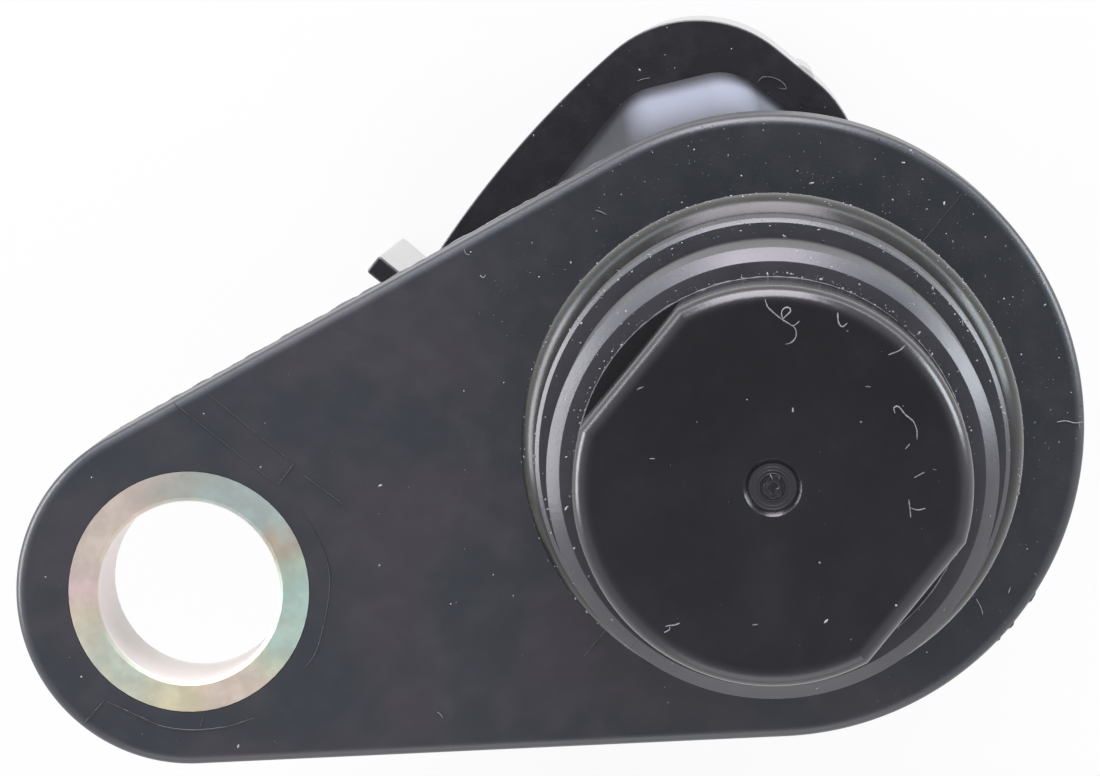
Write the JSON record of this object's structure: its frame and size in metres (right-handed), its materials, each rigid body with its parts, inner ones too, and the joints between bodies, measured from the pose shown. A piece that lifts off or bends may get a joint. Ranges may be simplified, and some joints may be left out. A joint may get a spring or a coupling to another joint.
{
  "type": "crankshaft position sensor",
  "caption": "Hall-effect crankshaft position sensor: sealed round probe with flats on its nose, bolt-on flange with a steel bush, and a bowed oval plug socket with blade terminals.",
  "frame": {"origin": "on the probe's axis, in the plane of the flange's mounting face", "axes": "+Z along the probe towards its tip, +X along the plug socket's long side, +Y towards the socket's key rib"},
  "size_m": [0.0359, 0.0304, 0.0608],
  "materials": {
    "housing_plastic": "moulded satin black, dusty",
    "capsule_plastic": "moulded smooth black, dusty",
    "seal_rubber": "smooth black rubber",
    "zinc_steel": "yellow zinc plate with a faint rainbow sheen",
    "carrier_plastic": "plain moulded",
    "chip_resin": "moulded resin",
    "magnet": "nickel plate",
    "tinned_lead": "tinned copper",
    "terminal_brass": "stamped brass",
    "capacitor_ceramic": "plain ceramic body"
  },
  "bodies": {
    "root": {"housing": "housing_plastic", "capsule": "capsule_plastic", "o_ring": "seal_rubber", "mounting_bush": "zinc_steel", "chip_carrier": "carrier_plastic", "hall_chip": "chip_resin", "bias_magnet": "magnet", "supply_lead": "tinned_lead", "ground_lead": "tinned_lead", "signal_lead": "tinned_lead", "supply_terminal": "terminal_brass", "ground_terminal": "terminal_brass", "signal_terminal": "terminal_brass", "supply_capacitor": "capacitor_ceramic", "signal_capacitor": "capacitor_ceramic"}
  },
  "joints": []
}
